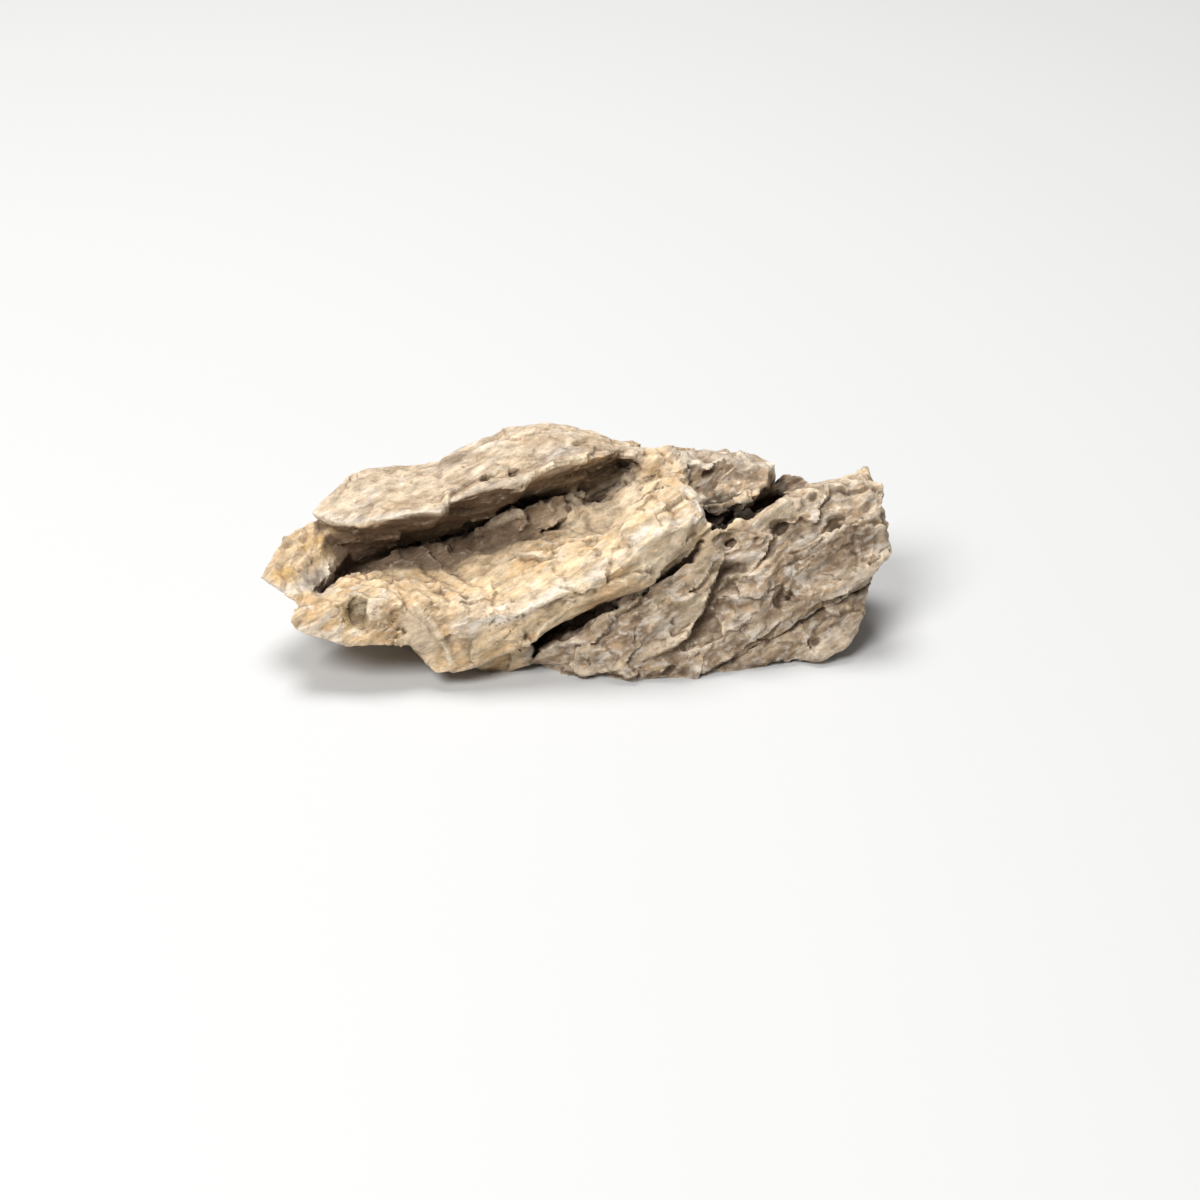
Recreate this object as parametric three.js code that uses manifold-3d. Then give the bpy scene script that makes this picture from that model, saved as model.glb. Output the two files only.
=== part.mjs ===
// A layered aquarium stone about 155 mm long: a weathered limestone whose beds dip down to the left and the front.
// Millimetres, +Z up, the viewer at -Y. The stone is one piece, so it is one mesh. Each bed or lump is blocked out
// as the convex hull of its corners, the blocks are joined, hollows are cut out of them, and the whole surface is
// then divided finely and weathered. Corners are measured from the point where the stone's front meets the ground.
import * as THREE from 'three';
import { ConvexGeometry } from 'three/addons/geometries/ConvexGeometry.js';
import { ImprovedNoise } from 'three/addons/math/ImprovedNoise.js';
import { TessellateModifier } from 'three/addons/modifiers/TessellateModifier.js';
import { mergeVertices } from 'three/addons/utils/BufferGeometryUtils.js';
import Module from 'manifold-3d';

const wasm = await Module();
wasm.setup();

// Driving dimensions
const FACET = 7; // longest edge of the finished surface
const HALVINGS = 12; // most times an edge may be halved to reach that length
const LENS_DETAIL = 2; // how finely a hollow's surface is divided
const WELD = 1e-3; // corners closer than this are one corner
const GROUND_BLOCK = { side: 400, depth: 20 }; // what is taken off below the ground plane
const STONE_COLOUR = 0xb3a28a;

// The beds lie square to the normal, which leans to the left and the front. The strike runs along them.
const BED_NORMAL = new THREE.Vector3(-0.315, -0.289, 0.904).normalize();
const STRIKE = new THREE.Vector3(0.864, 0.306, 0.399).projectOnPlane(BED_NORMAL).normalize();
const DIP = new THREE.Vector3().crossVectors(BED_NORMAL, STRIKE);
const BED_CENTRE = new THREE.Vector3(-6, 34, 18);

// Corners of each bed and lump, as [x, y, z]
const BLOCKS = {
  core: [
    [-20, 22, -2], [-16, 42, -2], [-2, 10, -2], [8, 6, -2], [28, 12, -2], [30, 40, -2],
    [-40, 22, 4], [-30, 56, 4], [44, 12, 5], [44, 54, 5],
    [-64, 34, 12], [-62, 54, 14], [-36, 68, 16], [18, 72, 18], [56, 56, 16],
    [-50, 50, 30], [-10, 58, 38], [24, 54, 30], [56, 46, 26], [10, 34, 22], [-30, 38, 20],
  ],
  rightLump: [
    [-15, 5, 5], [-17, 5, 1], [-12, 3, -1], [-6, 0, -1], [8, -1, -1], [17, 0, -1], [26, 2, 0], [5, 2, 10], [24, 6, 13],
    [41, 11, 15], [64, 19, 15], [70, 21, 22], [70, 26, 30], [68, 32, 36], [63, 34, 37], [52, 34, 35],
    [46, 30, 34], [40, 26, 32], [33, 22, 31.5], [28, 20, 31], [13, 10, 19], [-3, 6, 12],
    [66, 50, 32], [68, 46, 16], [50, 50, 10], [10, 38, 4], [-12, 26, 3], [0, 30, 18], [30, 40, 26],
  ],
  lowerStratum: [
    [66, 20, 14], [66, 14, 10], [63, 12, 5], [57, 8, 2], [46, 6, 0], [36, 4, -1], [25, 3, -1],
    [66, 36, 16], [60, 40, 8], [40, 36, 4], [24, 26, 3],
  ],
  plateFront: [
    [-38, -3, 4], [-36, -3, 5], [-31, -1, 5], [-27, 0, 7], [-21, 2, 9], [-20, 1, 17.5], [-26, 0, 14], [-27, -1, 11],
    [-38, 0, 13], [-44, 4, 19.5], [-47, 6, 19], [-45.5, 0, 11], [-44, 0, 8], [-54, 32, 17], [-43, 34, 20],
    [-48, 30, 4], [-24, 30, 6], [-38, 6, 3],
  ],
  underLens: [
    [-36, 2, 3], [-30, 3, -1], [-25, 3, 0], [-17, 4, 2], [-16, 4, 8], [-34, 4, 8], [-30, 20, 2], [-14, 20, 1],
  ],
  plateMiddle: [
    [-20, 1, 17.5], [-8, 3, 22.5], [3, 6, 26.5], [-21, 2, 9], [-16, 4, 11], [-12.5, 5, 13], [-7, 5, 14], [2, 8, 17.5],
    [-43, 34, 20], [-29, 37, 23], [-10, 42, 27], [-20, 26, 6], [4, 30, 14],
  ],
  plateRight: [
    [3, 6, 26.5], [13, 11, 32.5], [20, 14.5, 34.5], [26, 20, 36], [24, 27, 37], [20, 32, 37.5],
    [2, 8, 17.5], [12.5, 10, 22], [17, 13, 25.5], [24, 18, 29], [26.5, 21, 31],
    [-10, 42, 28], [9, 42.5, 39], [13, 46, 39.5], [5, 50, 41], [6, 30, 16], [20, 38, 22],
  ],
  curtain: [
    [-33, 33, 22], [-28, 32, 26], [-23, 32, 28], [-19, 33, 30], [-13, 34, 32], [-8, 36, 34],
    [-30, 29, 20], [-20, 29, 24], [-8, 31, 29], [-28, 35, 20], [-8, 40, 27],
  ],
  loafLeft: [
    [-72, 33, 29], [-71, 34, 26], [-65, 27, 29], [-58, 24, 31], [-47, 22, 34], [-40, 22, 35], [-64, 42, 33],
    [-59, 48, 34], [-40, 50, 35], [-66, 36, 12], [-43, 35, 20], [-66, 50, 22], [-58, 62, 22], [-36, 64, 22],
  ],
  loafRight: [
    [-40, 24, 36], [-33, 25, 39], [-26, 26, 39], [-19, 28, 41], [-10, 31, 43], [1, 36, 43], [-40, 50, 36],
    [-32, 52, 39], [-20, 53, 43], [-14, 53, 44], [0, 52, 41], [8, 51, 39.5], [-43, 35, 20], [-29, 37, 24],
    [-19, 39, 27], [-10, 43, 28], [0, 47, 31], [-34, 68, 26], [-10, 72, 30], [12, 66, 30],
  ],
  tip: [
    [-82, 18, 20], [-81, 24, 22], [-80, 26, 23], [-77, 30, 25], [-73, 34, 26], [-81, 17, 20], [-77, 12, 20],
    [-74, 9, 18], [-73, 7, 17], [-66, 20, 19], [-60, 44, 24], [-60, 40, 10], [-66, 24, 9], [-76, 28, 15],
  ],
  ledge: [
    [-74, 6, 17], [-75, 2, 15], [-73, 0, 14], [-65, -2, 13], [-56, -2, 11], [-51, -2, 11], [-45, -1, 11],
    [-60, 6, 18], [-48, 5, 20], [-54, 32, 17], [-58, 30, 6], [-46, 30, 5],
  ],
  backLump: [
    [10, 50, 36], [15, 46, 39], [21, 48, 38], [28, 50, 38], [35, 50, 37], [43, 46, 35.5], [43, 41, 36.5],
    [26.5, 28, 31], [29.5, 30, 28.5], [35, 32, 30], [41, 36, 33.5], [43, 46, 28], [25, 34, 34], [36, 40, 34],
    [18, 66, 30], [40, 62, 28], [20, 60, 14], [38, 58, 18],
  ],
  spike: [
    [42, 49, 28], [48, 50, 31], [52, 49, 30], [55, 47, 28], [43, 42, 24], [51, 42, 24], [44, 50, 16], [56, 50, 16],
  ],
};

// Wedges taken out where the beds have come apart
const CREVICES = {
  underPlate: [[-20, -3, 7.5], [-10, 0, 12], [2, 4, 16.5], [-13, -2, 5], [-3, 4, 12], [-12, 22, 11], [4, 22, 16]],
  aboveRightLump: [
    [27, 23, 31], [35, 29, 31], [45, 36, 33.5], [30, 21, 28.5], [38, 24, 29], [49, 32, 32],
    [32, 48, 24], [47, 48, 26], [30, 44, 18], [50, 44, 20],
  ],
};

// The hollow worn into the top of the plate: its centre, and its half sizes along the strike, down the dip and
// through the beds
const DISH = { at: [4, 30, 42], size: [24, 14, 14.5] };

// Smaller hollows and pits, sized the same way
const PITS = {
  grooveHead: { at: [2, 42, 34], size: [10, 7, 4] },
  backLumpScoop: { at: [30, 36, 38], size: [11, 7, 6] },
  scar: { at: [27, 5, 16], size: [11, 5, 5] },
  ledgeHollow: { at: [-57, 4, 20], size: [3.2, 6, 4] },
  topPit: { at: [-21, 31, 42], size: [3, 2, 2.5] },
  upperPit: { at: [44, 22, 31], size: [3.6, 2.4, 3] },
  cornerPit: { at: [57, 23, 31], size: [5, 3.5, 2.6] },
  edgePit: { at: [31.5, 19, 29], size: [3.6, 2, 2.4] },
  lowerPit: { at: [46, 13, 16], size: [3, 2, 2.6] },
};

// Lengths and depths of the weathering, from long swells to chips, each with its own place in the noise
const WEATHERING = [
  { length: 31, depth: 1.2, place: [11.3, 28.4, 40.6] },
  { length: 13, depth: 1.2, place: [37.7, 54.8, 67] },
  { length: 7, depth: 0.9, place: [71.9, 89, 101.2] },
];

// Ledges along the beds: how thick a bed is, how far its edge stands out, how much the beds wave and over what length
const BEDDING = { thickness: 7.5, stand: 1, wave: 4, waveLength: 26, place: 5.5 };
const LEDGE_REACH = 30; // distance from the middle of the stone at which the ledges stand out fully

// A closed surface as a solid that can be joined and cut
function solidOf(geometry) {
  const bare = new THREE.BufferGeometry();
  bare.setAttribute('position', geometry.getAttribute('position'));
  if (geometry.index) bare.setIndex(geometry.index);
  const welded = mergeVertices(bare, WELD);
  return new wasm.Manifold(new wasm.Mesh({
    numProp: 3,
    vertProperties: welded.getAttribute('position').array,
    triVerts: new Uint32Array(welded.index.array),
  }));
}

// A solid's surface
function geometryOf(solid) {
  const mesh = solid.getMesh();
  const geometry = new THREE.BufferGeometry();
  geometry.setAttribute('position', new THREE.Float32BufferAttribute(mesh.vertProperties, 3));
  geometry.setIndex(new THREE.Uint32BufferAttribute(mesh.triVerts, 1));
  return geometry;
}

function hullOf(corners) {
  return solidOf(new ConvexGeometry(corners.map((corner) => new THREE.Vector3(...corner))));
}

// A lens-shaped solid that lies in the beds
function lensOf({ at, size }) {
  const turn = new THREE.Matrix4().makeBasis(STRIKE, DIP, BED_NORMAL);
  const lens = new THREE.IcosahedronGeometry(1, LENS_DETAIL).scale(...size).applyMatrix4(turn);
  return solidOf(lens.translate(...at));
}

function joined(solids) {
  return solids.reduce((whole, solid) => whole.add(solid));
}

const noise = new ImprovedNoise();

function noiseAt(point, length, place) {
  return noise.noise(point.x / length + place, point.y / length + place, point.z / length + place);
}

// How far a bedding ledge pushes a point out, and which way
function ledgeAt(point) {
  const outward = point.clone().sub(BED_CENTRE).projectOnPlane(BED_NORMAL);
  const height = point.dot(BED_NORMAL) + BEDDING.wave * noiseAt(point, BEDDING.waveLength, BEDDING.place);
  const stand = BEDDING.stand * Math.sin((height / BEDDING.thickness) * 2 * Math.PI);
  return outward.divideScalar(LEDGE_REACH).clampLength(0, 1).multiplyScalar(stand);
}

// Where weathering takes one point of the surface
function weather(point) {
  const moved = point.clone().add(ledgeAt(point));
  for (const { length, depth, place } of WEATHERING) {
    const [x, y, z] = place.map((start) => depth * noiseAt(point, length, start));
    moved.add(new THREE.Vector3(x, y, z));
  }
  return moved;
}

function weathered(solid) {
  const fine = new TessellateModifier(FACET, HALVINGS).modify(geometryOf(solid));
  const positions = fine.getAttribute('position');
  const point = new THREE.Vector3();
  for (let i = 0; i < positions.count; i++) {
    point.fromBufferAttribute(positions, i);
    const moved = weather(point);
    positions.setXYZ(i, moved.x, moved.y, moved.z);
  }
  return solidOf(fine);
}

// Everything below the ground plane is taken off, which leaves the flat spot the stone rests on
function restingOnGround(solid) {
  const { side, depth } = GROUND_BLOCK;
  const below = new THREE.BoxGeometry(side, side, depth).translate(0, 0, -depth / 2);
  return solid.subtract(solidOf(below));
}

// The plate is hollowed before the loaf comes to lie over it
function blockedOut() {
  const { plateMiddle, plateRight, curtain, ...others } = BLOCKS;
  const plate = joined([plateMiddle, plateRight, curtain].map(hullOf)).subtract(lensOf(DISH));
  const whole = joined([plate, ...Object.values(others).map(hullOf)]);
  return whole.subtract(joined([...Object.values(CREVICES).map(hullOf), ...Object.values(PITS).map(lensOf)]));
}

function stoneGeometry() {
  const geometry = geometryOf(restingOnGround(weathered(blockedOut())));
  geometry.computeBoundingBox();
  const centre = geometry.boundingBox.getCenter(new THREE.Vector3());
  return geometry.translate(-centre.x, -centre.y, 0);
}

const stone = new THREE.Mesh(
  stoneGeometry(),
  new THREE.MeshStandardMaterial({ color: STONE_COLOUR, roughness: 0.9, metalness: 0 }),
);
stone.name = 'stone';

const group = new THREE.Group();
group.add(stone);

export default group;
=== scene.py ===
# %% [markdown]
# A layered stone for an aquarium, about 154 mm long. The real one is a weathered limestone: flat beds that were laid
# down one on another, tilted, broken along their edges and then worn by water and air. The solid made beforehand has
# its lumps, ledges and hollows, and it is loaded here as a fixed frame. Over it goes a much finer mesh, shaped by
# small steps that each copy one thing that happens to such a stone, and then one material painted by those steps.

# %% Load the solid
import math

import bpy
import numpy as np
from mathutils import Matrix
from mathutils.bvhtree import BVHTree

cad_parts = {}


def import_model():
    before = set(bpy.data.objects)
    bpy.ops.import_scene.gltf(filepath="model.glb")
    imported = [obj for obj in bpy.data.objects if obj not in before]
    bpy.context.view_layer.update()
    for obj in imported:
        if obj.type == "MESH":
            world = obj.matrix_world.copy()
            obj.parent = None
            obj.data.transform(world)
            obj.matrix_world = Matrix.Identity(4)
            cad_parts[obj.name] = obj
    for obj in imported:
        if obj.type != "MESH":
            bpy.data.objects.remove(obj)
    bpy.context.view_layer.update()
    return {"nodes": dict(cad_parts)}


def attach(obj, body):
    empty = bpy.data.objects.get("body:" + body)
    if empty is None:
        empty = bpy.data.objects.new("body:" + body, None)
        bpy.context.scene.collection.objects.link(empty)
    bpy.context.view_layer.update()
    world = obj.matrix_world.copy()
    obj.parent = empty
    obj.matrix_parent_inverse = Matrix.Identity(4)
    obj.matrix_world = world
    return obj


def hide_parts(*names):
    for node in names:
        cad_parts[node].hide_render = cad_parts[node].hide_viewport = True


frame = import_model()
solid = frame["nodes"]["stone"]
print("solid:", len(solid.data.polygons), "faces")

# %% [markdown]
# The picture was taken from the front, looking down by thirty degrees, with a longish lens from half a metre away.
# A camera could be tracked to the object, but its height and angle are known, so it is simply put there.

# %% Camera
CAMERA_PLACE = (0.0061, -0.5136, 0.2994)
CAMERA_PITCH = math.radians(30)
LENS_MM = 70
SENSOR_MM = 36


def add_camera():
    lens = bpy.data.cameras.new("camera")
    lens.lens = LENS_MM
    lens.sensor_width = SENSOR_MM
    camera = bpy.data.objects.new("camera", lens)
    camera.location = CAMERA_PLACE
    camera.rotation_euler = (math.pi / 2 - CAMERA_PITCH, 0, 0)
    bpy.context.scene.collection.objects.link(camera)
    bpy.context.scene.camera = camera


add_camera()
print("camera at", CAMERA_PLACE)

# %% [markdown]
# Everything in the stone follows its beds, so most steps work in bed coordinates: along the strike (the level line in
# a bed), down the dip, and up through the beds. They are three unit vectors, and a point in bed coordinates is its
# product with them. Lengths are in millimetres here, because that is how a stone's grain is thought of.

# %% Bed coordinates
MM = 0.001


def unit(vector):
    return vector / np.linalg.norm(vector)


BED_NORMAL = unit(np.array([-0.315, -0.289, 0.904]))
LEVEL_LINE = np.array([0.864, 0.306, 0.399])
STRIKE = unit(LEVEL_LINE - BED_NORMAL * (LEVEL_LINE @ BED_NORMAL))
DIP = np.cross(BED_NORMAL, STRIKE)
BED_AXES = np.stack([STRIKE, DIP, BED_NORMAL], axis=1)


def in_beds(points):
    """Points as (strike, dip, height through the beds)."""
    return points @ BED_AXES


print("beds rise along", BED_NORMAL.round(3))

# %% [markdown]
# Parts, pits and stains have soft borders, so nearly every rule below asks how far a value has come between two
# limits. A colour ramp node does the same in a material. Here it is three small functions.

# %% Soft limits
def ramp(values, low, high):
    """0 below low, 1 above high, and a smooth rise between them."""
    t = np.clip((values - low) / (high - low), 0, 1)
    return t * t * (3 - 2 * t)


def past(values, limits):
    return ramp(values, *limits)


def before(values, limits):
    return 1 - ramp(values, *limits)


print("halfway past:", past(0.5, (0, 1)), "a quarter past:", past(0.25, (0, 1)))

# %% [markdown]
# Natural surfaces need noise. Blender's texture nodes have it, but the shape and the colour should use the same pits
# and cracks, so the noise is made here once and used for both. It is built on numbers scrambled from a lattice, so
# each run is the same. The first kind is smooth: slopes at the corners of a lattice cell, faded into each other.

# %% Smooth noise
CELL_FACTORS = (73856093, 19349663, 83492791)
SEED_FACTOR = 374761393
SCRAMBLE_STEPS = ((15, 2246822519), (13, 3266489917))
SLOPES = np.array([
    (1, 1, 0), (-1, 1, 0), (1, -1, 0), (-1, -1, 0), (1, 0, 1), (-1, 0, 1),
    (1, 0, -1), (-1, 0, -1), (0, 1, 1), (0, -1, 1), (0, 1, -1), (0, -1, -1),
], float)
CORNERS = [(i, j, k) for i in (0, 1) for j in (0, 1) for k in (0, 1)]
SAMPLE_LINE = np.linspace((0, 0, 0), (90, 70, 50), 500)


def scrambled(cell, seed):
    """One number from 0 to 1 for each lattice cell, the same in every run."""
    mixed = seed * SEED_FACTOR
    for axis, factor in enumerate(CELL_FACTORS):
        mixed = mixed ^ (cell[:, axis] * factor)
    mixed = (mixed & 0xFFFFFFFF).astype(np.uint32)
    for shift, factor in SCRAMBLE_STEPS:
        mixed ^= mixed >> np.uint32(shift)
        mixed *= np.uint32(factor)
    mixed ^= mixed >> np.uint32(16)
    return mixed / 2.0**32


def swell(points, size, seed):
    """Smooth noise from about -1 to 1 with lumps of that size, which may differ by axis."""
    scaled = points / np.asarray(size, float)
    base = np.floor(scaled).astype(np.int64)
    inside = scaled - base
    weight = inside**3 * (inside * (inside * 6 - 15) + 10)
    total = np.zeros(len(points))
    for corner in CORNERS:
        slope = SLOPES[(scrambled(base + corner, seed) * len(SLOPES)).astype(int)]
        share = np.prod(np.where(corner, weight, 1 - weight), axis=1)
        total += share * np.einsum("ij,ij->i", slope, inside - corner)
    return total


def rough(points, size, octaves, seed):
    """Several layers of smooth noise, each half the size and half the height of the one before."""
    size = np.asarray(size, float)
    return sum(swell(points, size / 2**n, seed + n) / 2**n for n in range(octaves))


print("smooth noise reaches", np.abs(rough(SAMPLE_LINE, 9, 3, 1)).max().round(2))

# %% [markdown]
# Two more kinds are needed. Where smooth noise passes through zero, its size turned upside down is a sharp crest, and
# such crests with round hollows between them are what water leaves. And spots scattered in the lattice, one to a
# cell, give pits, bowls and chips: each point is told how far the nearest spot is, and how its facet is tilted.

# %% Crests and scattered spots
CREST_STEEPNESS = 2.2
CREST_POWER = 1.5
CREST_MEAN = 0.42
CREST_FINER = 1.9
NEIGHBOURS = [(i, j, k) for i in (-1, 0, 1) for j in (-1, 0, 1) for k in (-1, 0, 1)]


def ridged(points, size, octaves, seed):
    """Noise with sharp crests and round hollows between them, from about -0.4 to 0.6."""
    size = np.asarray(size, float)
    total = np.zeros(len(points))
    for n in range(octaves):
        height = np.abs(swell(points, size / CREST_FINER**n, seed + n))
        crest = 1 - np.minimum(height * CREST_STEEPNESS, 1)
        total += (crest**CREST_POWER - CREST_MEAN) / CREST_FINER**n
    return total


def three_scrambled(cell, seed):
    return np.stack([scrambled(cell, seed + k) for k in range(3)], axis=1)


def scattered(points, size, seed):
    """Distance to the nearest of scattered spots, in spot spacings, that spot's own number, and a facet of its own
    tilt, which is a plane through the spot from about -0.5 to 0.5."""
    scaled = points / np.asarray(size, float)
    base = np.floor(scaled).astype(np.int64)
    first = np.full(len(points), 9.0)
    owner = base.copy()
    for step in NEIGHBOURS:
        cell = base + step
        distance = np.linalg.norm(cell + three_scrambled(cell, seed) - scaled, axis=1)
        nearer = distance < first
        owner[nearer] = cell[nearer]
        first[nearer] = distance[nearer]
    offset = scaled - owner - three_scrambled(owner, seed)
    tilt = three_scrambled(owner, seed + 4) * 2 - 1
    return first, scrambled(owner, seed + 3), np.einsum("ij,ij->i", offset, tilt)


print("mean distance to a spot:", scattered(SAMPLE_LINE, 9, 1)[0].mean().round(2), "spacings")

# %% [markdown]
# Python is slow at going through a fine mesh point by point. Blender's foreach_get and foreach_set move all of its
# points at once to an array and back, so each step below reads the points, moves them and writes them back.

# %% Reading and writing points
def read_points(mesh):
    flat = np.empty(len(mesh.vertices) * 3, np.float32)
    mesh.vertices.foreach_get("co", flat)
    return flat.reshape(-1, 3).astype(float) / MM


def write_points(mesh, points):
    mesh.vertices.foreach_set("co", (points * MM).astype(np.float32).ravel())
    mesh.update()


def read_normals(mesh):
    flat = np.empty(len(mesh.vertices) * 3, np.float32)
    mesh.vertex_normals.foreach_get("vector", flat)
    return flat.reshape(-1, 3).astype(float)


def read_edges(mesh):
    flat = np.empty(len(mesh.edges) * 2, np.int32)
    mesh.edges.foreach_get("vertices", flat)
    return flat.reshape(-1, 2)


print("the solid's points reach", read_points(solid.data).max(axis=0).round(1), "mm")

# %% [markdown]
# The fine mesh starts as a copy of the solid. Subdividing it would keep its long thin triangles, so it is remeshed
# with voxels, which gives an even net of small quads.

# %% Fine base mesh
VOXEL_MM = 0.5


def remeshed_copy(source, voxel):
    copy = bpy.data.objects.new("weathered_stone", source.data.copy())
    bpy.context.scene.collection.objects.link(copy)
    remesh = copy.modifiers.new("even_net", "REMESH")
    remesh.mode = "VOXEL"
    remesh.voxel_size = voxel * MM
    evaluated = copy.evaluated_get(bpy.context.evaluated_depsgraph_get())
    mesh = bpy.data.meshes.new_from_object(evaluated)
    copy.modifiers.clear()
    copy.data = mesh
    return copy


stone = remeshed_copy(solid, VOXEL_MM)
edges = read_edges(stone.data)
degree = np.bincount(edges.ravel(), minlength=len(stone.data.vertices))
print("fine mesh:", len(stone.data.vertices), "points")

# %% [markdown]
# The flat facets of the solid have to go. A smooth modifier would do it, but the same averaging is needed later for
# other values, such as the shelter that gives dirt and painted shade, so it is a function: each round moves every
# value halfway to its neighbours' mean. The foot is drawn in a little, because a stone curves down to the floor and
# shades it, and doesn't end in a cut edge.

# %% Smoothing
FACET_ROUNDING_MM = 0.65
FOOT_HEIGHT_MM = 4
FOOT_CENTRE = np.array([16, -6])
FOOT_SHRINK = 0.05


def smoothed(values, radius):
    """Values averaged with their neighbours until the average reaches over about that radius in millimetres."""
    rounds = max(1, round((radius / VOXEL_MM) ** 2 * 2))
    columns = values.reshape(len(values), -1).copy()
    for _ in range(rounds):
        for k in range(columns.shape[1]):
            column = columns[:, k]
            near_sum = np.bincount(edges[:, 0], column[edges[:, 1]], len(column))
            near_sum += np.bincount(edges[:, 1], column[edges[:, 0]], len(column))
            columns[:, k] = (column + near_sum / degree) / 2
    return columns.reshape(values.shape)


def rounded_foot(points):
    low = (1 - ramp(points[:, 2], 0, FOOT_HEIGHT_MM))[:, None]
    away = points[:, :2] - FOOT_CENTRE
    points[:, :2] -= away * FOOT_SHRINK * low
    return points


write_points(stone.data, rounded_foot(smoothed(read_points(stone.data), FACET_ROUNDING_MM)))
print("smoothed over", FACET_ROUNDING_MM, "mm")

# %% [markdown]
# Dirt stays, and little light comes, where a point is sheltered by the rest of the stone, so the paint uses the
# shelter both for brown dirt and for painted shade. How sheltered it is can be measured: a few rays go out from each
# point, and those that hit the stone again are counted. A ray's way is the normal and a direction on a ball added up,
# which favours straight out, as light does. The rays run against the simple solid, which is much quicker than against
# the fine mesh and near enough.

# %% Shelter
RAY_COUNT = 12
RAY_REACH_MM = 28
RAY_START_MM = 0.9
BALL_RADIUS = 0.98
SHELTER_BLUR_MM = 1.2


def ball_directions(count):
    """Directions spread evenly over a ball, along a spiral from pole to pole."""
    rank = np.arange(count) + 0.5
    level = 1 - 2 * rank / count
    turn = rank * math.pi * (3 - math.sqrt(5))
    ring = np.sqrt(1 - level**2)
    return np.stack([ring * np.cos(turn), ring * np.sin(turn), level], axis=1)


def sheltered(mesh, solid_mesh):
    """The share of rays from each point that meet the stone again."""
    corners = [vertex.co for vertex in solid_mesh.vertices]
    tree = BVHTree.FromPolygons(corners, [list(face.vertices) for face in solid_mesh.polygons])
    normals = read_normals(mesh)
    starts = read_points(mesh) * MM + normals * RAY_START_MM * MM
    hits = np.zeros(len(starts))
    for direction in ball_directions(RAY_COUNT) * BALL_RADIUS:
        ways = normals + direction
        ways /= np.linalg.norm(ways, axis=1, keepdims=True)
        pairs = zip(starts.tolist(), ways.tolist())
        hits += [tree.ray_cast(start, way, RAY_REACH_MM * MM)[0] is not None for start, way in pairs]
    return hits / RAY_COUNT


shelter = smoothed(sheltered(stone.data, solid.data), SHELTER_BLUR_MM)
print("shelter", np.percentile(shelter, (10, 50, 90, 99)).round(2))

# %% [markdown]
# The stone's parts have worn differently, so each later step needs to know where it is. A vertex could be painted by
# hand, but a rule is easier to change. The loaf is what lies over and behind its lip, the groove is what lies under
# it, the plate is one range of beds in front, the right lump is the beds below the plate, and so on.

# %% Limits of the parts
LIP = np.array([
    (-67, 1, 27), (-65, -1.4, 28.2), (-58.7, -6.7, 28.8), (-40.6, -12.5, 34.1), (-33.5, -12.6, 34.9),
    (-26.8, -9.8, 38.2), (-13.2, -7, 40.5), (-3.6, -1.8, 41.2), (7.5, 4.5, 40.5), (15, 9, 38.5), (19, 13, 37),
])
LIP_FRONT = (-1.5, 0.5)
LIP_UNDERSIDE = (-1.8, -0.8)
LOAF_START = (-68, -65)
LOAF_END = (15, 21)
GROOVE_BACK = (17, 20)
GROOVE_FLOOR = (10, 14)
TIP_END = (-62, -58)
TIP_DIP = (6, 9)
LEDGE_END = (-45, -42)
LEDGE_BEDS = (35, 37)
LEDGE_BACK = (-20, -16)
PLATE_BEDS = (17.5, 20.5)
PLATE_END = (38, 41)
PLATE_BACK = (14, 20)
BACK_LUMP_START = (37, 40)
BACK_LUMP_DIP = (-13, -10)
LUMP_START = (-14, -9)
LUMP_DIP = (-16, -13)
LOW_BED_TOP = (-1.5, 0.5)
DISH = ((5, 4, 27), (19, 12, 14))
FACET = ((-37.5, -32.8, 13), (5, 9, 9))
print("the loaf's lip is", round(float(np.linalg.norm(LIP[-1] - LIP[0])), 1), "mm from end to end")

# %% [markdown]
# Each rule gives a soft mask from 0 to 1, one number for each point of the mesh. Masks are multiplied where all the
# limits have to hold, and a part that was cut first is taken out of the ones after it.

# %% Parts of the stone
def near(points, centre, size, hard=0.5):
    """1 inside a lens laid in the beds, falling to 0 at its edge."""
    offset = in_beds(points - np.asarray(centre, float)) / np.asarray(size, float)
    return 1 - ramp(np.linalg.norm(offset, axis=1), hard, 1)


def parts_of(points):
    """The soft mask of each part of the stone."""
    x, y, z = points.T
    strike, dip, height = in_beds(points).T
    behind = y - np.interp(x, LIP[:, 0], LIP[:, 1])
    above = z - np.interp(x, LIP[:, 0], LIP[:, 2])
    over_lip = past(behind, LIP_FRONT) * past(x, LOAF_START) * before(x, LOAF_END)
    loaf = over_lip * past(above, LIP_UNDERSIDE)
    groove = over_lip * before(above, LIP_UNDERSIDE) * before(behind, GROOVE_BACK) * past(z, GROOVE_FLOOR)
    tip = before(x, TIP_END) * past(dip, TIP_DIP) * (1 - loaf)
    ledge = before(x, LEDGE_END) * past(height, LEDGE_BEDS) * (1 - loaf) * (1 - tip) * before(y, LEDGE_BACK)
    plate = past(height, PLATE_BEDS) * before(strike, PLATE_END) * before(y, PLATE_BACK)
    plate *= (1 - loaf) * (1 - groove) * (1 - tip) * (1 - ledge)
    back_lump = past(strike, BACK_LUMP_START) * past(dip, BACK_LUMP_DIP) * (1 - plate)
    lump = before(height, PLATE_BEDS) * before(dip, LUMP_DIP) * past(x, LUMP_START) * (1 - back_lump)
    return {
        "loaf": loaf, "groove": groove, "tip": tip, "ledge": ledge, "plate": plate,
        "back_lump": back_lump, "lump": lump, "low_bed": lump * before(height, LOW_BED_TOP),
        "dish": near(points, *DISH) * (1 - loaf), "facet": near(points, *FACET) * plate,
    }


parts = parts_of(read_points(stone.data))
print({name: round(float(mask.mean()), 3) for name, mask in parts.items()})

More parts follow.
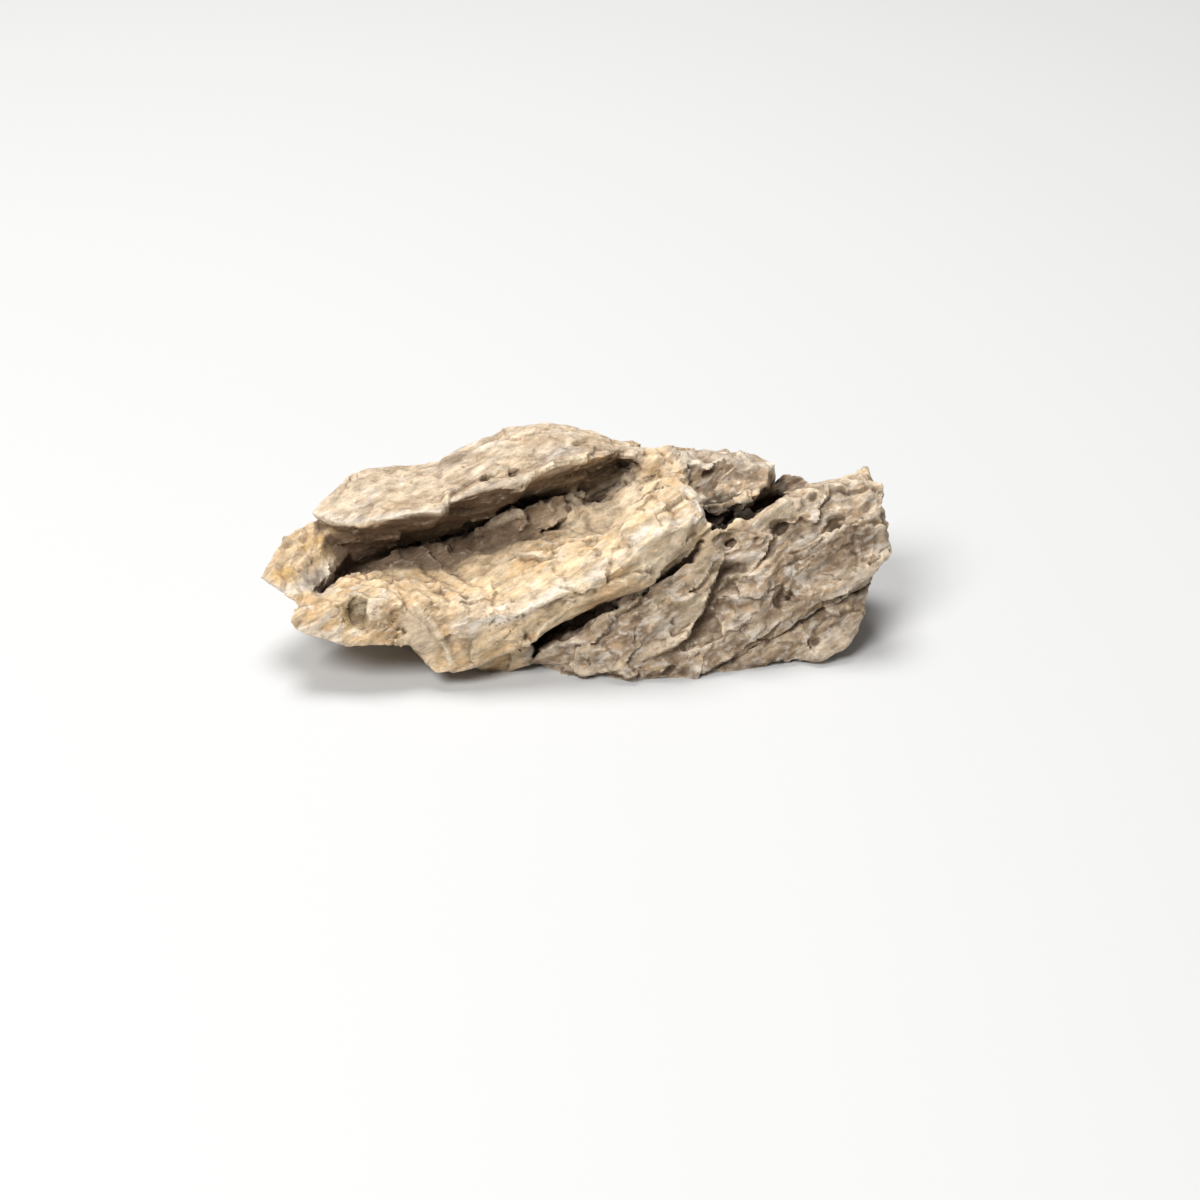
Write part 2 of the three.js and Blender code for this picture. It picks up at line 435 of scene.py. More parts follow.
# %% [markdown]
# The first things to shape are the ones that can be pointed at: the thin ragged ledge in the groove, the sharp edge
# of the broken corner, the pits on the lump, the knob beside the ledge's hollow. Each is a short line or a lens where
# the surface is pushed out, or in where its height is negative. Sculpting them by hand would do as well, but places
# written down can be measured and moved. All are in millimetres: a line's points, its half width and its height, or
# a lens's middle, its size along the beds' three axes and its height.

# %% Named ridges and spots
RIDGES = {
    "groove_ledge": ([(-26.2, -2, 22.5), (-17, -3, 28), (-12.8, -2, 30), (-7, 1, 31)], 2.2, 1.3),
    "block_edge": ([(-38.1, -29.9, 18.9), (-34.9, -32.4, 15.9), (-32, -34.3, 12.8), (-29.5, -37, 7)], 1.5, 1.1),
    "plate_crest": ([(18.8, 10, 37.4), (25, 6, 36), (30, -2, 34), (29, -12, 34), (20, -17, 32)], 3.0, 0.8),
    "rim_crest": ([(9, -22, 26), (-2, -26, 22), (-15, -31, 17), (-27, -34, 13)], 2.6, 0.8),
    "ochre_step": ([(-72, -6, 24), (-66, -12, 21), (-60, -20, 18)], 2.0, 0.8),
}
SPOTS = {
    "ledge_knob": ((-47.2, -31.5, 17), (5, 5, 6), 1.6),
    "ledge_notch": ((-52.3, -32, 16.8), (4, 5, 5), -2.2),
    "beside_block": ((-42.0, -32, 15), (3, 6, 6), -1.6),
    "beside_tip": ((-63.8, -18.5, 19), (4, 8, 4), -1.4),
    "curtain_end": ((-2.6, 0.2, 27.2), (5, 4, 4), 2.2),
    "hollow_end": ((13, 11, 33), (11, 8, 8), 3.0),
    "ledge_end_knob": ((-64, -31, 17), (5, 4, 4), 1.0),
    "loaf_pit": ((-15.4, -1.6, 40.2), (2.6, 2.0, 3), -1.8),
    "loaf_long_pit": ((-20.5, -4.3, 40.0), (4.0, 1.5, 3), -1.2),
    "lump_pit_upper": ((50.5, -10.4, 29.6), (3.4, 2.2, 4), -1.6),
    "lump_pit_corner": ((63.5, -9.6, 29.8), (4.5, 3.2, 4), -1.4),
    "lump_pit_edge": ((37.9, -14.1, 27.7), (2.6, 2.0, 3), -1.0),
    "lump_pit_small": ((44.2, -14.4, 28.5), (1.8, 1.4, 2), -1.2),
    "lump_pit_lower": ((52.2, -19.1, 14.6), (2.8, 1.6, 3), -1.4),
    "knob_one": ((-1.5, 4.5, 29.4), (1.8, 1.5, 2), 1.5),
    "knob_two": ((1, 6.5, 29.2), (1.7, 1.4, 2), 1.3),
    "knob_three": ((3.2, 7, 29), (1.6, 1.5, 2), 1.2),
    "knob_four": ((0.4, 3, 29.3), (1.5, 1.4, 2), 1.0),
    "back_scoop": ((35, 5, 33), (8, 5, 5), -1.0),
    "dish_floor": ((5, 3, 27), (12, 8, 10), -0.8),
}


def distance_to_line(points, line):
    """Distance from each point to a line of straight stretches."""
    nearest = np.full(len(points), 1e9)
    for start, end in zip(line[:-1], line[1:]):
        along = end - start
        t = np.clip((points - start) @ along / (along @ along), 0, 1)
        nearest = np.minimum(nearest, np.linalg.norm(points - start - t[:, None] * along, axis=1))
    return nearest


def ridges_and_spots(points, ragged):
    push = np.zeros(len(points))
    for line, width, height in RIDGES.values():
        reach = distance_to_line(points, np.array(line, float)) / (width * ragged)
        push += height * (1 - ramp(reach, 0, 1))
    for centre, size, height in SPOTS.values():
        push += height * near(points, centre, size, hard=0.1)
    return push


print(len(RIDGES), "ridges and", len(SPOTS), "spots")

# %% [markdown]
# Under the small lump and under the plate's rim the beds have parted, and the gap is too narrow for the solid. These
# clefts are lines too, but they only cut, and the paint uses their depth again to paint shade into them near black,
# because no light reaches into them.

# %% Clefts
CLEFT_MM = 2.2
CLEFT_WALL = (0.3, 1)
CLEFTS = {
    "under_back_lump": ([(33, -13, 31.5), (36, -10, 30.5), (40.5, -8, 31.5), (45.5, -4.5, 32), (51, 2, 32)], 3.2),
    "under_plate": ([(-13, -29, 8), (-7.5, -25.5, 8), (-1.5, -24.5, 9.5), (4, -24.5, 12), (9, -25, 15)], 1.8),
    "under_plate_end": ([(14, -24.5, 17.5), (22, -21, 22), (28, -19, 25.5), (31, -17.5, 29)], 0.9),
}


def cleft_depth(points, ragged):
    """How deep the clefts cut at each point, from 0 to 1."""
    depth = np.zeros(len(points))
    for line, width in CLEFTS.values():
        reach = distance_to_line(points, np.array(line, float)) / (width * ragged)
        depth = np.maximum(depth, before(reach, CLEFT_WALL))
    return depth


print(len(CLEFTS), "clefts up to", CLEFT_MM, "mm deep")

# %% [markdown]
# On the front of the lump a flake has broken off. Its edge runs up the face as a crooked line: the surface to the
# left of it stands out as a lip, and the one to the right is sunk and comes back slowly. The line is given as places
# along the stone and heights, and how far a point lies to the right of it decides how far it moves.

# %% The scar
SCAR_EDGE = np.array([(25.5, 9), (28, 11), (30.7, 14), (32, 17), (33.5, 19.5), (36.5, 24.5)])
SCAR_FOOT = (7, 10)
SCAR_TOP = (22, 25)
SCAR_LIP_MM = 1.0
SCAR_LIP = (-7, -0.4)
SCAR_BREAK = (-0.4, 0.4)
SCAR_DEPTH_MM = 2.6
SCAR_WALL = (-0.4, 0.8)
SCAR_FADE = (2, 11)


def beside_scar(points):
    """How far each point lies to the right of the scar's edge, and a soft mask of the stretch the edge runs along."""
    z = points[:, 2]
    right = points[:, 0] - np.interp(z, SCAR_EDGE[:, 1], SCAR_EDGE[:, 0])
    here = past(z, SCAR_FOOT) * before(z, SCAR_TOP) * parts["lump"]
    return right, here * (points[:, 1] < 0)


def scar_relief(points):
    right, here = beside_scar(points)
    lip = SCAR_LIP_MM * past(right, SCAR_LIP) * before(right, SCAR_BREAK)
    floor = SCAR_DEPTH_MM * past(right, SCAR_WALL) * before(right, SCAR_FADE)
    return (lip - floor) * here


print("scar from", SCAR_EDGE[0, 1], "to", SCAR_EDGE[-1, 1], "mm above the floor")

# %% [markdown]
# Now all the named forms go into the mesh, along its normals. None may look drawn with a ruler, so the width of each
# line is made ragged by noise first.

# %% Shape the named forms
RAGGED_MM = 4
RAGGED_SHARE = 0.8
RAGGED_LIMITS = (0.4, 1.8)
CLEFT_SHADE_WIDTH = 1.2

points = read_points(stone.data)
ragged = np.clip(1 + RAGGED_SHARE * rough(points, RAGGED_MM, 2, 300), *RAGGED_LIMITS)
# A wider cleft mask is kept for the paint: it marks where the clefts get painted shade.
painted_cleft_shade = cleft_depth(points, ragged * CLEFT_SHADE_WIDTH)
relief = ridges_and_spots(points, ragged) - CLEFT_MM * cleft_depth(points, ragged) + scar_relief(points)
write_points(stone.data, points + read_normals(stone.data) * relief[:, None])
print("pushed by", relief.min().round(2), "to", relief.max().round(2), "mm")

# %% [markdown]
# Weathering works on the whole surface. Broken limestone is scalloped: shallow bowls and chips that meet in sharp
# ridges, longer along the strike than across it. Over them water has left crests with round hollows, coarse on the
# lump, and fine and drawn out on the plate. A displace modifier with an image could do this, but it knows nothing of
# the beds, so each is a short function of the bed coordinates.

# %% Scallops and crests
SCALLOPS = [((16, 11, 8), 1.3, 400), ((7, 5, 4), 0.42, 410), ((3.0, 2.2, 1.6), 0.12, 420)]
BOWL_MEAN = 0.3
CHIP_TILT = 1.1
COARSE_CREST_MM = 0.9
STREAK_CREST_MM = 0.22


def bent(beds, amount, size, seed):
    """Bed coordinates pushed about by noise, so that no bowl or crest runs straight."""
    return beds + amount * np.stack([rough(beds, size, 2, seed + k) for k in range(3)], axis=1)


def scallops(beds, wildness):
    push = np.zeros(len(beds))
    crooked = bent(beds, 1.2, 5, 440)
    for size, depth, seed in SCALLOPS:
        first, own, facet = scattered(crooked, size, seed)
        push += depth * ((first**2 - BOWL_MEAN) * (0.2 + 0.6 * own) + CHIP_TILT * facet)
    return push * wildness


def crests(beds):
    crooked = bent(beds, 1.5, 7, 470)
    coarse = ridged(crooked, (19, 12, 9), 2, 480) * COARSE_CREST_MM
    streaks = ridged(crooked, (20, 5, 4), 2, 490) * STREAK_CREST_MM
    brown = np.clip(parts["lump"] + 0.6 * parts["back_lump"], 0, 1)
    return (coarse * brown + streaks * (1 - brown)) * (1 - 0.35 * parts["loaf"]) * (1 - 0.8 * parts["facet"])


print("scallops up to", max(size[0] for size, depth, seed in SCALLOPS), "mm long")

# %% [markdown]
# The beds show in three ways. On a broken edge thin ones stand out as ledges that fade in and out. Where a surface
# lies flat in the beds it flakes into terraces, like a stair with wide treads. And a few beds of the lump stand out
# far, with a lip at their foot. The beds aren't ruled planes, so their height is waved a little first.

# %% Bed ledges and terraces
BED_WAVES = [(1.6, (17, 13, 60), 1, 430), (0.5, (5, 4, 9), 2, 431)]
TERRACE_MM = 1.9
TERRACE_RISER = (0.32, 0.68)
LEDGE_MM = 1.3
LEDGE_THICKER = 2.2
THICK_LEDGE_OUT = 0.4
THIN_LEDGE_OUT = 0.2
LEDGE_LENGTH_MM = 40
LEDGE_FADE = (-0.1, 0.45)
BED_STEPS = [(0.2, 1.3, 3.5), (9.5, 0.7, 3.0)]
BED_STEP_FADE = (-0.25, 0.15)


def wavy_height(beds):
    """Height through the beds, with the beds gently waved."""
    height = beds[:, 2]
    for wave, size, octaves, seed in BED_WAVES:
        height = height + wave * rough(beds, size, octaves, seed)
    return height


def ledges(beds, height):
    """Thin and thicker beds that stand out of a broken edge, fading in and out along the strike."""
    flat = np.stack([beds[:, 0] / LEDGE_LENGTH_MM, beds[:, 1] / LEDGE_LENGTH_MM, height], axis=1)
    thick = swell(flat, (1, 1, LEDGE_THICKER * LEDGE_MM), 450)
    thin = swell(flat, (1, 1, LEDGE_MM), 451)
    fade = past(swell(beds, (14, 10, 5), 452), LEDGE_FADE)
    return (THICK_LEDGE_OUT * thick + THIN_LEDGE_OUT * thin) * fade


def terraces(height):
    """How far to move each point through the beds so that level surfaces break into steps."""
    steps = height / TERRACE_MM
    stair = np.floor(steps) + past(steps - np.floor(steps), TERRACE_RISER)
    return (stair - steps) * TERRACE_MM


def bed_steps(beds, height):
    """The beds of the lump that stand out far: each has a lip at its foot and falls back above it."""
    push = np.zeros(len(beds))
    for level, out, fall in BED_STEPS:
        here = past(swell(beds, (22, 12, 30), 460 + int(level)), BED_STEP_FADE)
        push += out * here * (ramp(height, level - 0.3, level + 0.3) - ramp(height, level, level + fall))
    return push


print("terraces", TERRACE_MM, "mm high, ledges about", LEDGE_MM, "mm")

# %% [markdown]
# How much of each a place gets depends on the part: the groove and the lump are the wildest, and the dish, the tip
# and the broken facet are worn or split smooth. Ledges show most where the surface cuts across the beds, and terraces
# only where it lies along them, which the normal tells.

# %% Weather the surface
LYING_FLAT = (0.72, 0.95)


def weather_surface(mesh):
    points = read_points(mesh)
    normals = read_normals(mesh)
    beds = in_beds(points)
    height = wavy_height(beds)
    across = 1 - (normals @ BED_NORMAL) ** 2
    wildness = 0.75 + 0.2 * parts["lump"] - 0.3 * parts["loaf"] - 0.3 * parts["tip"] - 0.3 * parts["dish"]
    wildness += 0.35 * parts["groove"] - 0.6 * parts["facet"]
    quiet = (1 - 0.8 * parts["facet"]) * (1 - 0.5 * parts["tip"]) * (1 - 0.35 * parts["lump"])
    push = scallops(beds, wildness) + ledges(beds, height) * (0.2 + 0.8 * across) * quiet
    push += bed_steps(beds, height) * parts["lump"] + crests(beds)
    push *= 1 - 0.5 * parts["tip"]
    flat = past(np.abs(normals @ BED_NORMAL), LYING_FLAT)
    step = terraces(height) * flat * (0.9 - 0.5 * parts["loaf"] - 0.35 * parts["dish"])
    points += normals * push[:, None] + BED_NORMAL * step[:, None]
    write_points(mesh, points)
    print("weathered by", push.min().round(2), "to", push.max().round(2), "mm")


weather_surface(stone.data)

# %% [markdown]
# Pits and cracks come next. Small pits are where grains and shell bits fell out: many on the right lump, few on the
# loaf, and none in the dish. There are few cracks, shallow and in patches, mostly along the beds. Both stay as
# masks, because dirt gathers in them later.

# %% Pits, cracks and grain
PIT_FIELDS = [((7.5, 5.5, 5.0), 0.34, 1.3, 500), ((3.0, 2.2, 2.0), 0.33, 0.5, 510)]
PIT_WALL = (0.25, 1)
CRACK_SIZE_MM = (18, 8, 4.5)
CRACK_WIDTH = 0.055
CRACK_MM = 0.4
CRACK_WALL = (0.3, 1)
CRACK_PATCH_MM = 15
CRACK_PATCH = (0.12, 0.4)
GRAIN_SIZE_MM = (3.0, 2.0, 1.4)
GRAIN_MM = 0.13


def pits(beds, crowding):
    """How deep the small pits are at each point, in millimetres."""
    depth = np.zeros(len(beds))
    for size, radius, deepest, seed in PIT_FIELDS:
        first, own, _ = scattered(beds, size, seed)
        present = ramp(crowding - own, 0, 0.05)
        depth = np.maximum(depth, deepest * present * before(first / radius, PIT_WALL) * (0.5 + own))
    return depth


def pit_crowding():
    """The share of lattice cells that hold a pit."""
    crowd = 0.1 + 0.2 * parts["lump"] + 0.15 * parts["back_lump"] + 0.05 * parts["plate"]
    return crowd - 0.2 * np.maximum(parts["dish"], parts["facet"])


def cracks(beds):
    """How deep the cracks are at each point: they run where smooth noise passes through zero."""
    line = np.abs(rough(beds, CRACK_SIZE_MM, 2, 520))
    here = past(swell(beds, CRACK_PATCH_MM, 525), CRACK_PATCH)
    return CRACK_MM * here * before(line / CRACK_WIDTH, CRACK_WALL)


def pit_and_crack(mesh):
    points = read_points(mesh)
    normals = read_normals(mesh)
    beds = in_beds(points)
    pitted = pits(beds, pit_crowding())
    cracked = cracks(beds)
    grain = rough(beds, GRAIN_SIZE_MM, 3, 540) * GRAIN_MM * (1 - 0.7 * parts["facet"] - 0.5 * parts["tip"])
    points += normals * (grain - pitted - cracked)[:, None]
    write_points(mesh, points)
    return pitted, cracked


pitted, cracked = pit_and_crack(stone.data)
print("pitted share", (pitted > 0.1).mean().round(3), "cracked share", (cracked > 0.1).mean().round(3))

# %% [markdown]
# The stone rests on a flat spot, and nothing may reach below the floor. Points that the weathering pushed under it
# are lifted back, which also keeps the flat spot flat.

# %% Flat underside
def keep_on_floor(mesh):
    points = read_points(mesh)
    under = points[:, 2] < 0
    points[under, 2] = 0
    write_points(mesh, points)
    print("points lifted to the floor:", int(under.sum()))


keep_on_floor(stone.data)

# %% [markdown]
# Colour follows form on a real stone: hollows hold brown dirt, broken edges are pale, and each bed has its own tint.
# The deepest hollows are also painted near black, as painted shade.
# So the colour is worked out per point from the same masks, and from how hollow or sharp the surface is, which is
# the distance between a point and the smoothed surface around it. The node material adds what is finer than the mesh.

# %% Hollows and edges
FINE_HOLLOW_MM = 1.0
WIDE_HOLLOW_MM = 3.5


def hollowness(mesh, radius):
    """How far each point lies below the surface smoothed over that radius, in millimetres. Edges are negative."""
    points = read_points(mesh)
    away = smoothed(points, radius) - points
    return np.einsum("ij,ij->i", away, read_normals(mesh))


fine_hollow = hollowness(stone.data, FINE_HOLLOW_MM)
wide_hollow = hollowness(stone.data, WIDE_HOLLOW_MM)
print("hollowness", np.percentile(fine_hollow, (5, 95)).round(2), np.percentile(wide_hollow, (5, 95)).round(2))

# %% [markdown]
# The tints are named after what they look like; the near black is painted shade. Each part is painted in layers, as
# stains and minerals lie on a stone: a layer is a tint and a mask of how much of it goes over what is there. Its
# patches have fairly crisp borders and are drawn out along the beds. A patch is given by its size in millimetres, a
# seed and how much it covers.

# %% Tints
TINTS = {
    "cream": (0.88, 0.67, 0.43),
    "pale": (0.93, 0.78, 0.58),
    "chalk": (0.90, 0.80, 0.68),
    "buff": (0.77, 0.62, 0.45),
    "sand": (0.72, 0.48, 0.25),
    "tan": (0.46, 0.32, 0.19),
    "umber": (0.20, 0.13, 0.08),
    "taupe": (0.44, 0.31, 0.20),
    "ash": (0.68, 0.53, 0.38),
    # Near black, used only for painted shade in clefts, the slot, deep hollows and sheltered places.
    "shade_black": (0.022, 0.016, 0.010),
    "ochre": (0.62, 0.38, 0.13),
    "moss": (0.25, 0.20, 0.08),
    "slate": (0.42, 0.41, 0.42),
}
PATCH_OCTAVES = 4
PATCH_EDGE = (0.55, 0.8)


def patches(beds, size, seed, cover):
    """Patches with fairly crisp borders: 1 inside, 0 outside, more of them the higher the cover from 0 to 1."""
    outside, inside = PATCH_EDGE
    return ramp(rough(beds, size, PATCH_OCTAVES, seed), outside - cover, inside - cover)


def painted(colours, layers):
    """The colours with each layer's tint mixed in by the layer's mask, one after another."""
    for tint, share in layers:
        share = np.clip(share, 0, 1)[:, None]
        colours = colours * (1 - share) + np.array(TINTS[tint]) * share
    return colours


points = read_points(stone.data)
beds = in_beds(points)
colours = np.tile(np.array(TINTS["sand"]), (len(points), 1))
print(len(TINTS), "tints")

# %% [markdown]
# The plate is the palest bed: cream with paler flecks, stained and darkened with painted shade where it goes in under
# the loaf, sandy at the left, and chalky along its broken rim. The facet where its lower front corner split off is
# plain buff with a pale edge.

# %% Paint the plate
RIM = np.array([
    (-27, -34, 14), (-20, -33, 17), (-8, -31, 22.5), (3, -28, 26.5), (13, -23, 32.5), (20, -20, 34.5),
    (31, -14, 36), (30, -7, 37), (26, -2, 37.5),
])
BLOCK_EDGE = np.array(RIDGES["block_edge"][0])
SANDY_LEFT = (-35, -5)
RIM_WIDTH = (1.2, 4.5)
BLOCK_EDGE_WIDTH = (0.4, 1.4)


def plate_layers(points, beds):
    # Tan where the plate goes in under the loaf: partly stain, partly painted shade from the overhang.
    stain_and_shade = 0.5 * near(points, (9, 13, 32), (9, 6, 7), hard=0.1)
    stain_and_shade = stain_and_shade + 0.6 * near(points, (-20, -8, 25), (22, 7, 6), hard=0.1)
    left = before(points[:, 0], SANDY_LEFT)
    rim = before(distance_to_line(points, RIM), RIM_WIDTH)
    return [
        ("cream", patches(beds, (13, 8, 4), 600, 0.75) * 0.85),
        ("tan", patches(beds, (7, 3, 1.5), 605, 0.25) * 0.6),
        ("pale", patches(beds, (5, 2.2, 1.2), 610, 0.35) * 0.75),
        ("tan", stain_and_shade * (0.35 + patches(beds, (4, 2, 2), 615, 0.4))),
        ("sand", near(points, (19, 10, 38), (10, 9, 8), hard=0.2) * 0.6),
        ("sand", left * (0.25 + 0.5 * patches(beds, (9, 5, 3), 617, 0.5))),
        ("tan", left * patches(beds, (4, 2.5, 1.6), 618, 0.3) * 0.6),
        ("chalk", rim * (0.3 + 0.65 * patches(beds, (5, 3, 3), 620, 0.6))),
        # The dish under the loaf is painted paler: partly its own pale tone, partly painted light against the
        # overhang's shade.
        ("pale", parts["dish"] * 0.5),
        ("chalk", near(points, (-28, -29, 16.5), (9, 5, 6), hard=0.2) * 0.5),
        # Painted light: the steep face below the right of the rim is painted paler, because its slope gets little
        # light.
        ("pale", near(points, (22, -22, 28), (14, 5, 6), hard=0.4) * 0.6),
        ("buff", parts["facet"] * 0.9),
        ("tan", parts["facet"] * 0.2),
        ("pale", before(distance_to_line(points, BLOCK_EDGE), BLOCK_EDGE_WIDTH) * 0.8),
    ]


colours = painted(colours, plate_layers(points, beds))
print("mean tint with the plate", colours.mean(axis=0).round(3))

# %% [markdown]
# The right lump and the small one behind it are grey-brown and mottled, with chalky veins that net over them. The
# floor of the scar is darker and its lip lighter, and low on the front there is a faint green stain. Between the two
# lumps is a slot so deep that it looks black, so what is sheltered there is painted near black as painted shade.

# %% Paint the lumps
BACK_LUMP_CREST = (36, 38.5)
SLOT = np.array([(35, -6, 28), (38, -2, 27), (41, 8, 22), (44.4, 12.2, 23), (48, 13, 24)])
SLOT_WIDTH = (6.5, 8.5)
SLOT_TOP = (31.5, 33)
SLOT_FRONT = (-7, -4)


def vein_net(beds, where):
    """Pale veins that cross each other like a net, in patches of a part."""
    crooked = beds + 2 * rough(beds, 6, 2, 646)[:, None]
    veins = ramp(ridged(crooked, (11, 7, 5), 3, 647), 0.35, 0.75)
    return where * veins * ramp(swell(beds, (14, 10, 8), 649), -0.2, 0.2)


# Painted shade: where the slot between the lumps is sheltered, it is painted near black.
def painted_slot_shade(points):
    slot = before(distance_to_line(points, SLOT), SLOT_WIDTH)
    deep = before(points[:, 2], SLOT_TOP) * past(points[:, 1], SLOT_FRONT)
    deep *= ramp(shelter, 0.03, 0.15)
    return slot * np.maximum(ramp(shelter, 0.12, 0.3), deep)


def lump_layers(points, beds):
    brown = np.clip(parts["lump"] + parts["back_lump"], 0, 1)
    right, here = beside_scar(points)
    green = near(points, (30, -22, 20), (22, 8, 9), hard=0.2)
    return [
        ("taupe", brown * 0.97),
        ("ash", brown * patches(beds, (18, 11, 6), 630, 0.56) * 0.9),
        ("umber", brown * patches(beds, (13, 8, 6), 635, 0.32) * 0.7),
        ("sand", brown * patches(beds, (6, 3, 2), 640, 0.3) * 0.5),
        ("chalk", brown * patches(beds, (3.2, 1.8, 1.1), 645, 0.32) * 0.75),
        ("umber", brown * patches(beds, (3.5, 2.2, 1.6), 643, 0.28) * 0.65),
        ("chalk", brown * patches(beds, (9, 5, 4), 648, 0.22) * 0.75),
        ("chalk", vein_net(beds, brown) * 0.7),
        ("umber", near(points, (57, 13, 29), (9, 10, 9)) * 0.9),
        ("umber", brown * near(points, (62, -10, 22), (14, 14, 9), hard=0.5) * 0.5),
        ("chalk", parts["back_lump"] * past(points[:, 2], BACK_LUMP_CREST) * 0.6),
        ("umber", brown * (0.06 + 0.1 * parts["low_bed"])),
        ("umber", here * ramp(right, -0.2, 0.6) * (1 - ramp(right, 3, 9)) * 0.8),
        ("ash", here * ramp(right, -9, -3) * (1 - ramp(right, -0.6, 0)) * 0.6),
        ("shade_black", painted_slot_shade(points)),
        ("moss", brown * green * patches(beds, (6, 4, 4), 650, 0.5) * 0.6),
    ]


colours = painted(colours, lump_layers(points, beds))
print("mean tint with the lumps", colours.mean(axis=0).round(3))

# %% [markdown]
# The loaf is buff with chalk and brown blotches, browner towards its front, and its lip is a chalky line. The groove
# under it is painted brown with some near black, partly dirt and partly painted shade under the lip, darkest at the
# left and lighter to the right, where a few pale knobs stand at its end.

# %% Paint the loaf and the groove
LOAF_FRONT = (6, 12)
LIP_WIDTH = (0.4, 2.0)


def loaf_layers(points, beds):
    x = points[:, 0]
    loaf = parts["loaf"]
    front = before(distance_to_line(points, LIP[3:9]), LOAF_FRONT)
    lip = before(distance_to_line(points, LIP) / ragged, LIP_WIDTH)
    return [
        ("buff", loaf * 0.95),
        ("chalk", loaf * patches(beds, (12, 8, 5), 660, 0.5) * 0.8),
        ("sand", loaf * patches(beds, (8, 4, 3), 665, 0.3) * 0.6),
        ("tan", loaf * patches(beds, (7, 4, 3), 670, 0.42) * 0.9),
        ("umber", loaf * patches(beds, (2.8, 1.8, 1.2), 672, 0.26) * 0.6),
        ("ash", loaf * 0.45),
        ("tan", loaf * front * (0.15 + 0.75 * patches(beds, (6, 3.5, 3), 674, 0.55))),
        ("umber", loaf * front * patches(beds, (3, 2, 1.6), 676, 0.3) * 0.6),
        ("chalk", lip * loaf * (0.7 - 0.4 * ramp(x, -32, -22))),
        ("slate", near(points, (-4, 2, 41), (9, 5, 6), hard=0.1) * 0.55),
        ("umber", near(points, (-31, 11, 38), (9, 5, 6), hard=0.3) * 0.7),
    ]


def groove_layers(points, beds):
    x = points[:, 0]
    groove = parts["groove"]
    darkened = groove * (1 - 0.8 * ramp(x, -18, -4))
    knobs = near(points, (0.8, 5, 29), (7, 6, 5), hard=0.3)
    return [
        # Under the lip: the brown is partly dirt and partly painted shade, and the near black is painted shade.
        ("taupe", groove * (0.9 - 0.65 * ramp(x, -6, 8))),
        ("umber", darkened * (0.65 + 0.3 * patches(beds, (7, 4, 3), 675, 0.5))),
        ("shade_black", darkened * 0.15),
        ("pale", knobs * (0.5 + 0.5 * patches(beds, (2.5, 1.6, 1.5), 622, 0.5))),
    ]


colours = painted(colours, loaf_layers(points, beds) + groove_layers(points, beds))
print("mean tint with the loaf", colours.mean(axis=0).round(3))

# %% [markdown]
# The pointed left end is iron-stained: ochre and cream over tan, and pale below, partly its own chalk and partly
# painted light thrown up by the floor. The low ledge beside it has a hollow and a crevice against the tip, both
# painted brown, partly dirt and partly painted shade, and a green stain.

# %% Paint the left end
TIP_FOOT = (18.5, 20.5)


def left_end_layers(points, beds):
    tip = parts["tip"]
    green = near(points, (-52, -30, 16), (9, 7, 9), hard=0.2)
    return [
        ("tan", tip * 0.35),
        ("ochre", tip * patches(beds, (7, 4, 3), 680, 0.35) * 0.6),
        ("cream", tip * patches(beds, (8, 4, 2), 685, 0.35) * 0.8),
        ("ochre", near(points, (-71.2, -18.2, 21.1), (4, 3, 3)) * 0.8),
        # Pale underside of the tip: partly chalk, partly painted light from the floor.
        ("chalk", tip * before(points[:, 2], TIP_FOOT) * 0.95),
        ("chalk", parts["ledge"] * patches(beds, (6, 4, 3), 690, 0.45) * 0.6),
        # Brown in the ledge's notch and the crevice by the tip: partly dirt, partly painted shade.
        ("umber", near(points, (-52.3, -31.5, 17.2), (3.5, 3, 4), hard=0.2) * 0.7),
        ("umber", near(points, (-62.8, -18, 19), (5, 9, 5), hard=0.1) * 0.75),
        ("moss", green * (0.3 + 0.6 * patches(beds, (4, 3, 3), 695, 0.55))),
    ]


colours = painted(colours, left_end_layers(points, beds))
print("mean tint with the left end", colours.mean(axis=0).round(3))

# %% [markdown]
# Wear goes over all of it: pale stone on the edges that are rubbed or freshly broken, and dirt in the hollows, pits,
# cracks and sheltered places. Painted shade goes over that: the brown in sheltered places is partly painted shade, and
# the deepest hollows, the bottoms of pits, the clefts and the most sheltered places are painted near black. Surfaces
# facing up are painted paler, as painted light from above. Then the colours are stored in the mesh, where the material
# finds them.

# %% Paint the wear and the painted shade and store the colours
COLOUR_LIMITS = (0.01, 0.9)


def wear_and_shade_layers(beds, normals):
    speckled = 0.5 + rough(beds, (2.0, 1.4, 1.0), 3, 700)
    return [
        ("pale", ramp(-fine_hollow, 0.07, 0.3) * speckled * 0.7),
        ("pale", ramp(-wide_hollow, 0.4, 1.4) * 0.25),
        # Painted light: surfaces that face up are painted paler, most on the lump.
        ("pale", ramp(normals[:, 2], 0.7, 1.0) * (0.05 + 0.2 * parts["lump"])),
        ("umber", ramp(fine_hollow, 0.04, 0.3) * 0.6),
        ("umber", ramp(wide_hollow, 0.3, 1.6) * 0.6),
        # Painted shade: near black at the bottom of deep hollows and pits, in the clefts and where shelter is
        # greatest.
        ("shade_black", ramp(wide_hollow, 1.6, 4.0) * 0.8),
        ("umber", ramp(pitted, 0.2, 0.7) * 0.7),
        ("shade_black", ramp(pitted, 0.5, 1.4) * 0.6),
        ("umber", ramp(cracked, 0.1, 0.4) * 0.5),
        # Brown by shelter: partly dirt, partly painted shade.
        ("umber", ramp(shelter, 0.35, 0.75) * (0.2 + speckled) * (1 - 0.7 * parts["dish"])),
        ("shade_black", ramp(shelter, 0.65, 1.0) * 0.6),
        ("shade_black", painted_cleft_shade * ramp(shelter, 0.0, 0.3) * 0.95),
    ]


